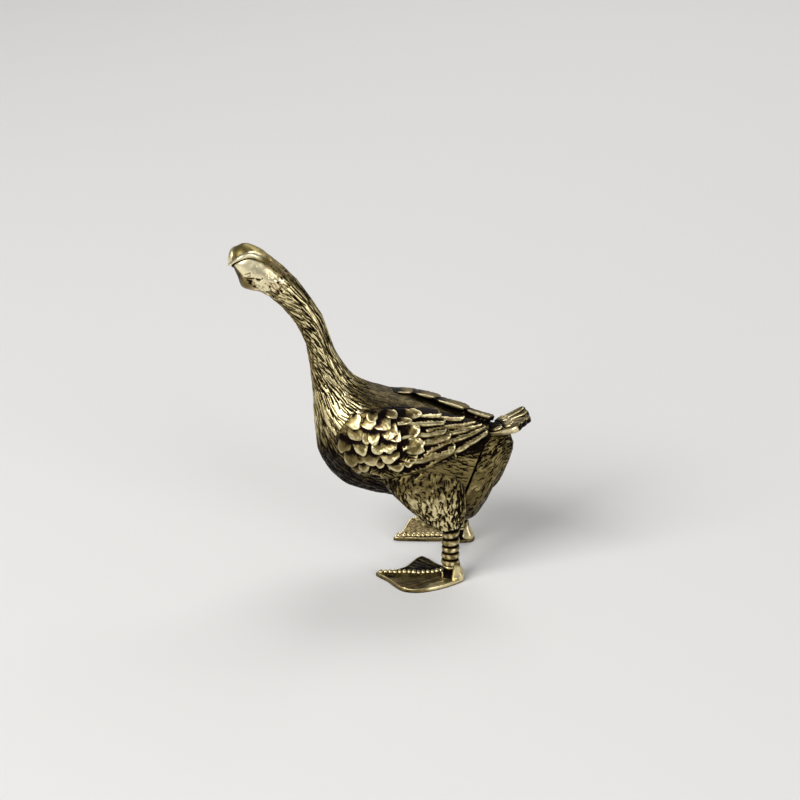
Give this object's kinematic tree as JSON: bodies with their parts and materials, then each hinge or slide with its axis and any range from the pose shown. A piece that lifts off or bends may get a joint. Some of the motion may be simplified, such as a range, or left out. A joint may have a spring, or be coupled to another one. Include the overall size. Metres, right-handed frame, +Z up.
{
  "type": "goose figurine",
  "caption": "Standing goose ornament in aged brass, with a long raised neck, feathered wings, ringed legs and webbed feet.",
  "frame": {"origin": "centre of the goose's box, on the ground that its feet stand on", "axes": "+Z up; the goose faces -X, with its tail towards +X and its left side towards -Y"},
  "size_m": [0.042, 0.0221, 0.046],
  "materials": {
    "aged_brass": "cast, engraved and darkened in the recesses",
    "rubbed_brass": "cast, darkened and rubbed bright on the raised parts",
    "leg_brass": "cast and darkened, with bright rings and edges"
  },
  "bodies": {
    "root": {"body": "aged_brass", "neck": "aged_brass", "head": "rubbed_brass", "upper_bill": "rubbed_brass", "rump": "aged_brass", "tail": "rubbed_brass", "left_wing": "rubbed_brass", "right_wing": "rubbed_brass", "left_thigh": "aged_brass", "right_thigh": "aged_brass", "left_shank": "leg_brass", "right_shank": "leg_brass", "left_foot": "leg_brass", "right_foot": "leg_brass"}
  },
  "joints": []
}
